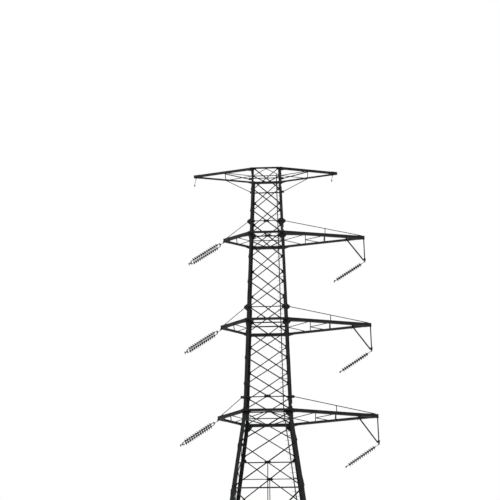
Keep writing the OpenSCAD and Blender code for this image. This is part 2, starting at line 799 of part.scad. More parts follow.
module top_crossarm() { phase_crossarm(1, [], true); }
module middle_crossarm() { phase_crossarm(2, [-1, 1], false); }
module bottom_crossarm() { phase_crossarm(3, [-1], true); }

earth_hanger_drop = earth_chord_b / 2 + 60;
earth_hang_x = [earth_left - 150, earth_right - 320];

module earth_crossarm() {
    z = earth_arm_z;
    w = half_w(z);
    b = earth_chord_b;
    color(steel)
        union() {
            arm_waist(z, b, [1]);
            arm_middle(z, b, w + chord_n + strut_off);
            plan_diamond(z, b);
            arm(z, w, earth_right, b, [brace_x]);
            mirror([1, 0, 0])
                arm(z, w, earth_left, b, [brace_x]);
            for (i = [0, 1])
                translate([(i == 0 ? -1 : 1) * earth_hang_x[i], 0, z - earth_hanger_drop])
                    eye_plate(earth_hanger_drop - b / 2, 120);
        }
}

// Knee braces under the earth-wire crossarm, with the strut between them

brace_x = 2720;            // from the tower's middle to the braces' upper ends
fin_t = 12;                // thickness of a fin
fin_h = 170;               // its height
fin_w = 190;               // its reach from the leg
strut_in = 45;             // from a leg's heel to the end of the strut between two fins

// Plate that stands out from a side face of a leg and takes a tie or brace
module fin(v, w, m) {
    translate([m * (w - fin_in) - fin_t / 2, v - fin_h / 2, seat])
        cube([fin_t, fin_h, fin_w]);
}

// Strut over the diagonals, packed off the legs where no diagonal ends
module leg_strut(w, v, packed) {
    face_bar([strut_in - w, v], [w - strut_in, v], cage_bar_b, bar_t, chord_n, 1, -1);
    for (m = packed)
        translate([m * (w - pack_b) - tie_pack / 2, v - tie_pack / 2, seat])
            cube([tie_pack, tie_pack, chord_n - seat + bite]);
}

module earth_arm_braces() {
    s = upper_slope;
    w = half_w(brace_z);
    v = face_v(brace_z);
    zt = earth_arm_z - earth_chord_b / 2 - seat;
    brace_in = earth_chord_b / 2 + 5;
    color(steel) {
        for (k = [1, 3], m = [-1, 1])
            on_face(k, s)
                fin(v, w, m);
        for (mx = [0, 1], my = [0, 1])
            mirror([mx, 0, 0])
                mirror([0, my, 0])
                    difference() {
                        level_angle([w + fin_w / 2, fin_in - w, brace_z],
                            [brace_x, brace_in - arm_y(brace_x, half_w(earth_arm_z), earth_right), zt],
                            thin_bar_b, bar_t, -1);
                        translate([0, -2 * w, zt])
                            cube([2 * brace_x, 4 * w, 500]);
                    }
        for (k = [0, 2])
            on_face(k, s)
                leg_strut(w, v, [-1, 1]);
    }
}

// Ties from the legs down to the arms' tips, with the struts between them and the posts

tie_in = 170;              // from an arm's tip to the lower end of its ties
tie_y = 42;                // half distance of the ties there
tie_pack = 70;             // side of a packing between such a strut and the leg
foot_l = 150;              // length of a tie's foot plate
post_off = 20;             // gap between a cross strut and the post beside it

module arm_ties(i, packed) {
    z = arms[i][0];
    tz = z + tie_rise;
    w = half_w(tz);
    v = face_v(tz);
    top = z + arms[i][3] / 2 + plate_t + seat;
    color(steel)
        union() {
            for (k = [1, 3], m = [-1, 1])
                on_face(k, slope(z))
                    fin(v, w, m);
            for (k = [0, 2])
                on_face(k, slope(z))
                    leg_strut(w, v, packed);
            for (side = [[1, arms[i][2]], [-1, arms[i][1]]], my = [0, 1])
                mirror([side[0] > 0 ? 0 : 1, 0, 0])
                    mirror([0, my, 0])
                        let (end = side[1] - tie_in) {
                            difference() {
                                level_angle([w + fin_w / 2, fin_in - w, tz], [end, -tie_y, top + plate_in],
                                    thin_bar_b, bar_t);
                                translate([0, -base_half_w, top - 200])
                                    cube([2 * end, 2 * base_half_w, 200]);
                            }
                            translate([end - foot_l * 0.75, -tie_y - 28, top])
                                cube([foot_l, tie_y + 27, plate_t]);
                        }
            for (my = [0, 1])
                mirror([0, my, 0])
                    tie_post(i, tz, top + plate_in);
        }
}

// Post that stands inside the long arm's chord, beside a cross strut, and holds up the tie
module tie_post(i, z0, z1) {
    z = arms[i][0];
    w = half_w(z);
    reach = arms[i][2];
    c = w + chord_n;
    x = w + right_shares[1] * (reach - w) + thin_bar_b + post_off;
    root = half_w(z0) + fin_w / 2;
    share = (x - root) / (reach - tie_in - root);
    foot = z - arms[i][3] / 2 + arm_chord_t + seat;
    translate([x, -arm_y(x, w, reach), foot])
        rotate([0, 0, atan((c - tip_half) / (reach - c))])
            linear_extrude(z0 + share * (z1 - z0) + bar_t / 2 - foot)
                polygon(angle_pts(thin_bar_b, bar_t, arm_chord_t + seat, 1, 1, thin_bar_b));
}

module top_arm_ties() { arm_ties(1, [-1, 1]); }
module middle_arm_ties() { arm_ties(2, []); }
module bottom_arm_ties() { arm_ties(3, [-1, 1]); }

// Drop brackets under the right arms: hanger, raking bar and foot plate with an eye

bracket_in = 60;           // from a right arm's tip in to its bracket
foot_h = 230;              // height of the plate at a bracket's foot
foot_w = 150;              // its width at the top
hanger_off = 70;           // from the eye up to the hangers' lower ends
rake_off = 110;            // from the eye up to the raking bars' lower ends

function bracket_x(i) = arms[i][2] - bracket_in;
function bracket_z(i) = arms[i][0] - bracket_drop;

module drop_brackets() {
    color(steel)
        for (i = [1 : 3])
            bracket_frame(i);
}

module bracket_frame(i) {
    x = bracket_x(i);
    zf = bracket_z(i);
    zb = arms[i][0] - arms[i][3] / 2;
    zt = zb - plate_t - seat;
    b = bracket_bar_b;
    h = hanger_t / 2 - bite;
    head = [x - bracket_reach, arm_y(x - bracket_reach, half_w(arms[i][0]), arms[i][2]) - 8];
    for (m = [0, 1])
        mirror([0, m, 0]) {
            // vertical hanger
            translate([x, 0, zf + hanger_off])
                linear_extrude(zt - zf - hanger_off)
                    polygon([[-b / 2, h], [b / 2, h], [b / 2, h + bar_t], [-b / 2 + bar_t, h + bar_t],
                        [-b / 2 + bar_t, h + b], [-b / 2, h + b]]);
            // raking bar up to the cross angle
            intersection() {
                translate([x, h, zf])
                    rotate([0, -atan(bracket_reach / (zb - zf)), 0])
                        translate([0, 0, rake_off])
                            linear_extrude(norm([bracket_reach, zb - zf]))
                                polygon([[-b / 2, 0], [b / 2, 0], [b / 2, bar_t], [-b / 2 + bar_t, bar_t],
                                    [-b / 2 + bar_t, b], [-b / 2, b]]);
                translate([x - 2 * bracket_reach, 0, zf])
                    cube([4 * bracket_reach, 200, zb - seat - 3 - zf]);
            }
        }
    // foot plate with the eye, plate under the arm's tip, cross angle under the chords
    translate([x, 0, zf])
        eye_plate(foot_h, foot_w);
    translate([x - foot_w / 2, -foot_w / 2, zt - plate_t])
        cube([foot_w - 10, foot_w, plate_t]);
    level_angle([head[0], -head[1], zb - seat], [head[0], head[1], zb - seat], 2 * b, bar_t, -1);
}

// Insulator strings

cap_r = 46;                // radius of a disc's metal cap
stem_r = 13;               // radius of the pin under a disc
skirt_h = 110;             // from a disc's top down to its bare pin

// Right-hand outline of one disc from its cap's top at y down to the next cap
function disc_pts(y) = [
    [22, y], [40, y - 6], [cap_r, y - 20], [cap_r, y - 58], [62, y - 66], [disc_r - 22, y - 80],
    [disc_r - 4, y - 92], [disc_r, y - 102], [disc_r - 8, y - 108], [disc_r - 26, y - 100],
    [70, y - 98], [36, y - 104], [stem_r, y - skirt_h], [stem_r, y - disc_pitch + 1]
];

module string_of_discs(y0) {
    stack = [for (i = [0 : discs - 1]) each disc_pts(y0 - i * disc_pitch)];
    end = y0 - discs * disc_pitch;
    rotate_extrude($fn = 48)
        polygon(concat([[0, y0]], stack, [[stem_r, end], [0, end]]));
}

cheek_t = 14;              // thickness of a shackle's cheeks
cheek_r = 28;              // radius of their eyes
cheek_w = 44;              // their width
cheek_gap = 0.5;           // from a cheek to the plate between the two
pin_over = 12;             // the pin's reach past each cheek
shackle_throat = 62;       // from the pin down to the shackle's bow
bow_h = 24;                // height of the bow
yoke_top = -230;           // from the pin to the upper yoke plate's top
yoke_h = 110;              // height of a yoke plate
yoke_t = 16;               // its thickness
yoke_over = 45;            // its reach past each string, and half its width at the hung end
yoke_edge = 30;            // its height at the ends
fitting = 130;             // ball or socket fitting at each end of a string
fitting_r = 20;            // radius of such a fitting
rod_r = 14;                // radius of the rod under a shackle
twin_start = yoke_top - yoke_h - fitting;
twin_end = twin_start - discs * disc_pitch;
single_start = -290;       // from the pin to a single string's first disc
single_end = single_start - discs * disc_pitch;
yoke_in = 30;              // fittings enter the yoke plates this far
twin_clamp = twin_end - fitting + yoke_in - yoke_h - 90;
single_clamp = single_end - 190;
clamp_l = 260;             // length of a conductor clamp
clamp_wall = 18;           // wall of its tube
clamp_neck = 26;           // thickness of the plate that it hangs from
clamp_keeper = 24;         // height of its keeper

// Pin, two cheeks and the bow of a shackle, with the rod that hangs from it
module shackle(rod_end) {
    gap = hanger_t / 2 + cheek_gap;
    bow = -shackle_throat - bow_h;
    rotate([90, 0, 0])
        cylinder(r = pin_r, h = 2 * (gap + cheek_t + pin_over), center = true, $fn = 64);
    for (m = [-1, 1])
        translate([0, m * (gap + cheek_t / 2), 0])
            rotate([90, 0, 0])
                translate([0, 0, -cheek_t / 2])
                    linear_extrude(cheek_t)
                        union() {
                            circle(r = cheek_r, $fn = 64);
                            translate([-cheek_w / 2, bow])
                                square([cheek_w, -bow]);
                        }
    translate([-cheek_w / 2, -gap - bite, bow])
        cube([cheek_w, 2 * gap + 2 * bite, bow_h]);
    translate([0, 0, rod_end])
        cylinder(r = rod_r, h = -rod_end - shackle_throat - 10, $fn = 48);
}

// Clamp that holds a conductor, its groove along Y at depth y
module suspension_clamp(y, l) {
    difference() {
        union() {
            translate([0, 0, y])
                rotate([90, 0, 0])
                    cylinder(r = conductor_r + clamp_wall, h = l, center = true, $fn = 64);
            translate([-clamp_neck / 2, -45, y + 10])
                cube([clamp_neck, 90, 110]);
            translate([-conductor_r - clamp_keeper, -l * 0.28, y - clamp_keeper / 2])
                cube([2 * (conductor_r + clamp_keeper), l * 0.56, clamp_keeper]);
        }
        translate([0, 0, y])
            rotate([90, 0, 0])
                cylinder(r = conductor_r, h = l + 10, center = true, $fn = 64);
    }
}

// Plate that joins the two strings of a pair, its narrow end up or down
module yoke(y, h, w, up) {
    half = w / 2 + yoke_over;
    rotate([90, 0, 90])
        translate([0, 0, -yoke_t / 2])
            linear_extrude(yoke_t)
                polygon(up
                    ? [[-yoke_over, y], [yoke_over, y], [half, y - h + yoke_edge], [half, y - h],
                        [-half, y - h], [-half, y - h + yoke_edge]]
                    : [[-half, y], [half, y], [half, y - yoke_edge], [yoke_over, y - h],
                        [-yoke_over, y - h], [-half, y - yoke_edge]]);
}

spacer_disc = 6;           // the spacer sits under the disc that follows this many
spacer_r = 24;             // radius of its rings
spacer_h = 20;             // height of its rings
spacer_rod = 8;            // radius of its bar

// Bar between the two strings of a pair, its rings round the discs' stems
module string_spacer() {
    y = twin_start - spacer_disc * disc_pitch - (skirt_h + disc_pitch) / 2;
    rod = twin_gap - 2 * spacer_r + spacer_rod;
    difference() {
        union() {
            for (m = [-1, 1])
                translate([0, m * twin_gap / 2, y])
                    cylinder(r = spacer_r, h = spacer_h, center = true, $fn = 48);
            translate([0, 0, y])
                rotate([90, 0, 0])
                    cylinder(r = spacer_rod, h = rod, center = true, $fn = 32);
        }
        for (m = [-1, 1])
            translate([0, m * twin_gap / 2, y])
                cylinder(r = stem_r + seat, h = 2 * spacer_h, center = true, $fn = 48);
    }
}

module twin_hardware() {
    shackle(yoke_top - 20);
    yoke(yoke_top, yoke_h, twin_gap, true);
    for (m = [-1, 1]) {
        translate([0, m * twin_gap / 2, twin_start + seat])
            cylinder(r = fitting_r, h = fitting + yoke_in - seat, $fn = 48);
        translate([0, m * twin_gap / 2, twin_end - fitting])
            cylinder(r = fitting_r, h = fitting - seat, $fn = 48);
    }
    yoke(twin_end - fitting + yoke_in, yoke_h, twin_gap, false);
    suspension_clamp(twin_clamp, clamp_l);
    string_spacer();
}

module single_hardware() {
    shackle(single_start + seat + 30);
    translate([0, 0, single_start + seat])
        cylinder(r = fitting_r, h = 60, $fn = 48);
    translate([0, 0, single_end - 100])
        cylinder(r = fitting_r, h = 100 - seat, $fn = 48);
    suspension_clamp(single_clamp, clamp_l);
}

module at_left_tip(i) {
    translate([hanger_in - arms[i][1], 0, arms[i][0] - hanger_drop])
        rotate([0, swing, 0])
            children();
}

module at_bracket(i) {
    translate([bracket_x(i), 0, bracket_z(i)])
        rotate([0, swing, 0])
            children();
}

module left_insulators(i) {
    color(porcelain)
        at_left_tip(i)
            for (m = [-1, 1])
                translate([0, m * twin_gap / 2, 0])
                    string_of_discs(twin_start);
}

module right_insulators(i) {
    color(porcelain)
        at_bracket(i)
            string_of_discs(single_start);
}

module left_clamp(i) {
    color(steel)
        at_left_tip(i)
            union() twin_hardware();
}

module right_clamp(i) {
    color(steel)
        at_bracket(i)
            union() single_hardware();
}

module top_left_insulators() { left_insulators(1); }
module middle_left_insulators() { left_insulators(2); }
module bottom_left_insulators() { left_insulators(3); }
module top_right_insulators() { right_insulators(1); }
module middle_right_insulators() { right_insulators(2); }
module bottom_right_insulators() { right_insulators(3); }
module top_left_clamp() { left_clamp(1); }
module middle_left_clamp() { left_clamp(2); }
module bottom_left_clamp() { left_clamp(3); }
module top_right_clamp() { right_clamp(1); }
module middle_right_clamp() { right_clamp(2); }
module bottom_right_clamp() { right_clamp(3); }

// Earth-wire clamps hang straight from their shackles

earth_link = [560, 420];   // from the pin down to the wire, left and right
earth_clamp_l = 160;       // length of an earth-wire clamp

module earth_clamp(i) {
    color(steel)
        translate([(i == 0 ? -1 : 1) * earth_hang_x[i], 0, earth_arm_z - earth_hanger_drop])
            rotate([0, earth_swing, 0])
                union() {
                    shackle(-earth_link[i] + 60);
                    suspension_clamp(-earth_link[i], earth_clamp_l);
                }
}

module earth_clamp_left() { earth_clamp(0); }
module earth_clamp_right() { earth_clamp(1); }

base_plates();
lower_leg_front_left();
lower_leg_front_right();
lower_leg_rear_right();
lower_leg_rear_left();
upper_leg_front_left();
upper_leg_front_right();
upper_leg_rear_right();
upper_leg_rear_left();
base_bracing_front();
base_bracing_right();
base_bracing_rear();
base_bracing_left();
lower_bracing_front();
lower_bracing_right();
lower_bracing_rear();
lower_bracing_left();
cage_bracing_front();
cage_bracing_right();
cage_bracing_rear();
cage_bracing_left();
knee_diaphragm();
climbing_rail();
earth_crossarm();
top_crossarm();
middle_crossarm();
bottom_crossarm();
earth_arm_braces();
top_arm_ties();
middle_arm_ties();
bottom_arm_ties();
drop_brackets();
top_left_insulators();
middle_left_insulators();
bottom_left_insulators();
top_right_insulators();
middle_right_insulators();
bottom_right_insulators();
top_left_clamp();
middle_left_clamp();
bottom_left_clamp();
top_right_clamp();
middle_right_clamp();
bottom_right_clamp();
earth_clamp_left();
earth_clamp_right();
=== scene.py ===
"""A double-circuit lattice steel tower, dressed round its fixed frame: metres, +Z up, front towards -Y."""
import json
import math

import bpy
import numpy as np
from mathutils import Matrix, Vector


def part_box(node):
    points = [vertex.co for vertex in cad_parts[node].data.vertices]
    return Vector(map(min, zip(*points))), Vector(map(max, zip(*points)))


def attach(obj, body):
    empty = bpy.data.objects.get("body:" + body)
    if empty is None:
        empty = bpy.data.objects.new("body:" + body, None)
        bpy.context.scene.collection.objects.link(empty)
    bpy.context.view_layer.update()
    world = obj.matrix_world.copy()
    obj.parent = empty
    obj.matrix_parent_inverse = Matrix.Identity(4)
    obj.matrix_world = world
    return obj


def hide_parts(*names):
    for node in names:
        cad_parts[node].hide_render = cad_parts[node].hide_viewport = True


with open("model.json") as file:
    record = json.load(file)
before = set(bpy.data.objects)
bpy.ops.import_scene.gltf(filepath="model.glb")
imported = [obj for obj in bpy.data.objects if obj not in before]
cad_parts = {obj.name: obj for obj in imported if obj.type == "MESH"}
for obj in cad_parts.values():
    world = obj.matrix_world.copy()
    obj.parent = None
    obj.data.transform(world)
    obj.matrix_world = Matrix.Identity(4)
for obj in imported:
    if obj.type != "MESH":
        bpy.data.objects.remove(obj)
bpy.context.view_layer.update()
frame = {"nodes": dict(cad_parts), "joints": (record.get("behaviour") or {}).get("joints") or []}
nodes = frame["nodes"]

# Camera
# The picture was taken from the ground, 64 m in front of the tower, with a short telephoto lens tipped
# up until only the upper half of the tower was in view, with its head a third of the way down.
eye = (1.90, -63.84, 1.60)
eye_up_deg = 26.69
eye_left_deg = 2.683
lens_mm = 80.46
sensor_mm = 36.0
far_clip_m = 1000.0

camera_data = bpy.data.cameras.new("camera")
camera_data.lens = lens_mm
camera_data.sensor_width = sensor_mm
camera_data.clip_end = far_clip_m
camera = bpy.data.objects.new("camera", camera_data)
camera.location = eye
camera.rotation_euler = (math.radians(90 + eye_up_deg), 0.0, math.radians(eye_left_deg))
bpy.context.scene.collection.objects.link(camera)
bpy.context.scene.camera = camera

# Studio
# A white overcast surround and one broad sun, as plain as a studio: steel seen against it is dark, with a
# soft light side. The floor is a wide pale disc at the level of the base plates.
floor_r = 160.0
floor_rings = 6
floor_sides = 96
first_ring = 0.02            # the innermost ring, as a share of the radius
floor_roughness = 0.9
surround_hex = "#ffffff"
floor_hex = "#d9dbda"
surround_strength = 1.0
sun_strength = 1.6
sun_spread_deg = 25.0
sun_turn_deg = (48.0, -22.0, -30.0)


def linear(hexed):
    """sRGB hex value to the linear colour that shaders take, with full alpha."""
    srgb = np.array([int(hexed[i : i + 2], 16) for i in (1, 3, 5)]) / 255.0
    curve = np.where(srgb <= 0.04045, srgb / 12.92, ((srgb + 0.055) / 1.055) ** 2.4)
    return (*curve.tolist(), 1.0)


def add_node(tree, kind, settings=None, **links):
    """Adds one shader node with its settings, and fills its sockets: an output is linked, a value is set."""
    node = tree.nodes.new(kind)
    for key, value in (settings or {}).items():
        setattr(node, key, value)
    for key, value in links.items():
        by_number = key[0] == "i" and key[1:].isdigit()
        socket = node.inputs[int(key[1:]) if by_number else key.replace("_", " ")]
        if isinstance(value, bpy.types.NodeSocket):
            tree.links.new(value, socket)
        else:
            socket.default_value = value
    return node


def mesh_piece(name, points, faces, smooth=False):
    """Makes an object at the origin from an array of points and a list of index lists, faces outwards."""
    mesh = bpy.data.meshes.new(name)
    mesh.from_pydata(np.asarray(points).tolist(), [], faces)
    mesh.polygons.foreach_set("use_smooth", np.full(len(mesh.polygons), smooth))
    mesh.update()
    piece = bpy.data.objects.new(name, mesh)
    bpy.context.scene.collection.objects.link(piece)
    return piece


def grid_faces(rows, columns, wrap_rows, wrap_columns):
    """Quads of a grid of points numbered row by row; a row or column that wraps is joined to the first."""
    row_starts = np.arange(rows - (not wrap_rows))
    column_starts = np.arange(columns - (not wrap_columns))
    i, j = np.meshgrid(row_starts, column_starts, indexing="ij")
    i, j = i.ravel(), j.ravel()
    down, across = (i + 1) % rows, (j + 1) % columns
    return np.stack([i * columns + j, i * columns + across, down * columns + across, down * columns + j], 1)


around = np.linspace(0.0, 2.0 * np.pi, floor_sides, endpoint=False)
rings = floor_r * np.linspace(first_ring, 1.0, floor_rings)
floor_points = np.stack([np.outer(rings, np.cos(around)), np.outer(rings, np.sin(around)),
                         np.zeros((floor_rings, floor_sides))], 2).reshape(-1, 3)
floor_faces = [list(range(floor_sides))] + grid_faces(floor_rings, floor_sides, False, True)[:, ::-1].tolist()
floor = mesh_piece("floor", floor_points, floor_faces)
floor_paint = bpy.data.materials.new("pale_floor")
floor_paint.use_nodes = True
floor_shader = floor_paint.node_tree.nodes["Principled BSDF"]
floor_shader.inputs["Base Color"].default_value = linear(floor_hex)
floor_shader.inputs["Roughness"].default_value = floor_roughness
floor.data.materials.append(floor_paint)

world = bpy.data.worlds.new("white_surround")
world.use_nodes = True
surround = world.node_tree.nodes["Background"]
surround.inputs["Color"].default_value = linear(surround_hex)
surround.inputs["Strength"].default_value = surround_strength
bpy.context.scene.world = world
bpy.context.scene.view_settings.view_transform = "Standard"

sun_data = bpy.data.lights.new("sun", "SUN")
sun_data.energy = sun_strength
sun_data.angle = math.radians(sun_spread_deg)
sun = bpy.data.objects.new("sun", sun_data)
sun.rotation_euler = [math.radians(turn) for turn in sun_turn_deg]
bpy.context.scene.collection.objects.link(sun)

# Structural steel
# Rolled carbon-steel angles and plates, hot-dip galvanised after drilling. Decades of weather have turned
# the bright zinc to a dull grey patina with run-off streaks and a faint crystal spangle left; all its colours
# are darkened to nearly black grey as painted shade.
# painted shade: these zinc colours are darkened to nearly black grey, darker than the real weathered zinc
zinc_dark_painted_shade_hex = "#0f1011"
zinc_mid_painted_shade_hex = "#191b1c"
zinc_pale_painted_shade_hex = "#282b2c"
run_rust_hex = "#4a3122"
zinc_metallic = 0.35         # the patina hides most of the metal
zinc_specular = 0.25
zinc_roughness = (0.48, 0.7)
dull_edges = (0.3, 0.7)      # of the streaks' noise, from the smoother to the rougher
patch_size_m = 0.9
patch_edges = (0.35, 0.68)   # of the patches' noise, from the dark grey to the middle one
rust_edges = (0.64, 0.8)     # of the same noise, from no rust to the full share of it
streak_width_m = 0.035
streak_length_m = 0.9
streak_noise = 0.6
streak_edges = (0.52, 0.75)  # of the streaks' noise, from none to the full share of the pale grey
streak_share = 0.55
spangle_m = 0.022            # zinc crystals are nearer 10 mm; drawn coarser so that they show
spangle_shades = (0.82, 1.12)
spangle_relief_m = 0.0006
spangle_bump = 0.12


def weathered_zinc_painted_shade(name, rust_share=0.12):
    """Dull galvanising darkened to nearly black as painted shade: patches, vertical run-off streaks and
    spangle on Object coordinates, in metres.
    """
    material = bpy.data.materials.new(name)
    material.use_nodes = True
    tree = material.node_tree
    shader = tree.nodes["Principled BSDF"]
    place = add_node(tree, "ShaderNodeTexCoord").outputs["Object"]
    patches = add_node(tree, "ShaderNodeTexNoise", Vector=place, Scale=1.0 / patch_size_m, Detail=5.0,
                       Roughness=0.6).outputs["Fac"]
    hung = add_node(tree, "ShaderNodeMapping", Vector=place,
                    Scale=(1 / streak_width_m, 1 / streak_width_m, 1 / streak_length_m)).outputs["Vector"]
    streaks = add_node(tree, "ShaderNodeTexNoise", Vector=hung, Scale=streak_noise, Detail=3.0).outputs["Fac"]
    crystal = add_node(tree, "ShaderNodeTexVoronoi", {"feature": "F1"}, Vector=place, Scale=1.0 / spangle_m)
    base = add_node(tree, "ShaderNodeValToRGB", i0=patches)
    for stop, edge, shade in zip(base.color_ramp.elements, patch_edges, (zinc_dark_painted_shade_hex, zinc_mid_painted_shade_hex)):
        stop.position = edge
        stop.color = linear(shade)
    pale = add_node(tree, "ShaderNodeMapRange", i0=streaks, i1=streak_edges[0], i2=streak_edges[1], i3=0.0,
                    i4=streak_share).outputs[0]
    streaked = add_node(tree, "ShaderNodeMix", {"data_type": "RGBA"}, i0=pale, i6=base.outputs["Color"],
                        i7=linear(zinc_pale_painted_shade_hex)).outputs[2]
    spangle = add_node(tree, "ShaderNodeMapRange", i0=crystal.outputs["Color"], i3=spangle_shades[0],
                       i4=spangle_shades[1]).outputs[0]
    flecked = add_node(tree, "ShaderNodeVectorMath", {"operation": "SCALE"}, i0=streaked,
                       Scale=spangle).outputs[0]
    rust = add_node(tree, "ShaderNodeMapRange", i0=patches, i1=rust_edges[0], i2=rust_edges[1], i3=0.0,
                    i4=rust_share).outputs[0]
    colour = add_node(tree, "ShaderNodeMix", {"data_type": "RGBA"}, i0=rust, i6=flecked,
                      i7=linear(run_rust_hex)).outputs[2]
    tree.links.new(colour, shader.inputs["Base Color"])
    shader.inputs["Metallic"].default_value = zinc_metallic
    shader.inputs["Specular IOR Level"].default_value = zinc_specular
    dull = add_node(tree, "ShaderNodeMapRange", i0=streaks, i1=dull_edges[0], i2=dull_edges[1],
                    i3=zinc_roughness[0], i4=zinc_roughness[1]).outputs[0]
    tree.links.new(dull, shader.inputs["Roughness"])
    bump = add_node(tree, "ShaderNodeBump", Height=crystal.outputs["Distance"], Strength=spangle_bump,
                    Distance=spangle_relief_m).outputs[0]
    tree.links.new(bump, shader.inputs["Normal"])
    return material


tower_zinc = weathered_zinc_painted_shade("weathered_galvanised_steel")
for node_name, node in nodes.items():
    if "insulators" not in node_name:
        node.data.materials.clear()
        node.data.materials.append(tower_zinc)

# Insulator strings
# Thirteen cap-and-pin discs in each string: a brown glazed porcelain shell with ribs under it, cemented
# into a galvanised malleable-iron cap and round a steel pin whose ball hangs in the next cap's socket.
discs = 13
disc_pitch = 0.146
disc_r = 0.127
cap_r = 0.046
stem_r = 0.013
tuck = 0.004                 # the shell starts this far inside the cap
rim_r = 0.007
rim_z = -0.101
rib_depth = 0.016
ribs = 3.0
swing_deg = 56.0
twin_half_gap = 0.225
twin_start = -0.470          # from a string's pin down to its first disc
single_start = -0.290
shell_turns = 28
cap_turns = 20
glaze_hex = "#3a2018"
glaze_dark_hex = "#24140f"
glaze_clouds = 14.0          # clouds of the glaze's colour are some 70 mm across
glaze_edges = (0.3, 0.7)
glaze_roughness = (0.12, 0.3)
glaze_ior = 1.52
string_places = {j["child"]: np.array(j["pos_m"]) for j in frame["joints"] if j["child"].endswith("_string")}


def turned(outline, turns, looped):
    """Revolves (radius, height) rows round the Z axis: a ring of points per row, looped or with flat ends."""
    outline = np.asarray(outline, float)
    turn = np.linspace(0.0, 2.0 * np.pi, turns, endpoint=False)
    points = np.stack([np.outer(outline[:, 0], np.cos(turn)), np.outer(outline[:, 0], np.sin(turn)),
                       np.repeat(outline[:, 1:2], turns, 1)], 2).reshape(-1, 3)
    faces = grid_faces(len(outline), turns, looped, True)[:, ::-1].tolist()
    if not looped:
        faces += [list(range(turns)), list(range(len(points) - 1, len(points) - turns - 1, -1))]
    return points, faces


def joined(parts):
    """Joins (points, faces) pairs: a pair's faces count on by the number of points that come before it."""
    jumps = np.cumsum([0] + [len(points) for points, _ in parts]).tolist()
    faces = [[corner + jump for corner in face]
             for (_, part_faces), jump in zip(parts, jumps) for face in part_faces]
    return np.concatenate([points for points, _ in parts]), faces


def stacked(points, faces, offsets):
    """Copies one set of points and faces to each offset row and joins the copies."""
    return joined([(points + offset, faces) for offset in np.asarray(offsets, float)])


def swung(points, body):
    """Turns points hung under a string's pin to its swing about Y, and moves them to the pin."""
    a = math.radians(swing_deg)
    turn = np.array([[math.cos(a), 0.0, math.sin(a)], [0.0, 1.0, 0.0], [-math.sin(a), 0.0, math.cos(a)]])
    return points @ turn.T + string_places[body]


def shell_outline():
    """Dome from the cap to the rim, a round rim, then three ribs under it, and back up inside the cap."""
    dome = np.linspace(0.0, 1.0, 7)
    top = np.stack([cap_r - tuck + (disc_r - cap_r - tuck) * dome, -0.058 - 0.036 * dome ** 1.9], 1)
    bend = np.linspace(0.35, 0.95, 4) * np.pi
    rim = np.stack([disc_r - rim_r + rim_r * np.sin(bend), rim_z + rim_r * np.cos(bend)], 1)
    under = np.linspace(0.04, 1.0, 16)
    ribbed = np.stack([disc_r - 0.012 - (disc_r - 0.032) * under,
                       -0.094 + 0.010 * under - rib_depth * np.sin(ribs * np.pi * under) ** 2], 1)
    return np.concatenate([top, rim, ribbed])


def cap_outline():
    """Cap with a rolled skirt, then the pin down to the ball in the next cap."""
    return [(0.020, -0.001), (0.036, -0.004), (0.044, -0.014), (cap_r, -0.026), (cap_r, -0.050),
            (0.051, -0.060), (0.047, -0.066), (0.020, -0.070), (stem_r, -0.074), (stem_r, -0.140),
            (0.016, -0.143), (0.016, -0.146)]


def glazed_porcelain():
    """Brown glaze, glossy and a little uneven: slow clouds of two browns, rougher where they are lighter."""
    material = bpy.data.materials.new("brown_glazed_porcelain")
    material.use_nodes = True
    tree = material.node_tree
    shader = tree.nodes["Principled BSDF"]
    place = add_node(tree, "ShaderNodeTexCoord").outputs["Object"]
    cloud = add_node(tree, "ShaderNodeTexNoise", Vector=place, Scale=glaze_clouds, Detail=4.0).outputs["Fac"]
    glaze = add_node(tree, "ShaderNodeValToRGB", i0=cloud)
    for stop, edge, shade in zip(glaze.color_ramp.elements, glaze_edges, (glaze_dark_hex, glaze_hex)):
        stop.position = edge
        stop.color = linear(shade)
    tree.links.new(glaze.outputs["Color"], shader.inputs["Base Color"])
    rough = add_node(tree, "ShaderNodeMapRange", i0=cloud, i1=glaze_edges[0], i2=glaze_edges[1],
                     i3=glaze_roughness[0], i4=glaze_roughness[1]).outputs[0]
    tree.links.new(rough, shader.inputs["Roughness"])
    shader.inputs["IOR"].default_value = glaze_ior
    return material


porcelain = glazed_porcelain()
cap_zinc = weathered_zinc_painted_shade("galvanised_malleable_iron", rust_share=0.3)
for body in string_places:
    side = body.replace("_string", "")
    rows = [-twin_half_gap, twin_half_gap] if "left" in side else [0.0]
    start = twin_start if "left" in side else single_start
    offsets = [(0.0, y, start - i * disc_pitch) for y in rows for i in range(discs)]
    shells, shell_faces = stacked(*turned(shell_outline(), shell_turns, True), offsets)
    caps, cap_faces = stacked(*turned(cap_outline(), cap_turns, False), offsets)
    glazed = mesh_piece(side + "_porcelain_shells", swung(shells, body), shell_faces, smooth=True)
    glazed.data.materials.append(porcelain)
    iron = mesh_piece(side + "_caps_and_pins", swung(caps, body), cap_faces, smooth=True)
    iron.data.materials.append(cap_zinc)
    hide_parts(side + "_insulators")
    for piece, slot in ((glazed, "porcelain"), (iron, "hardware")):
        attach(piece, body)

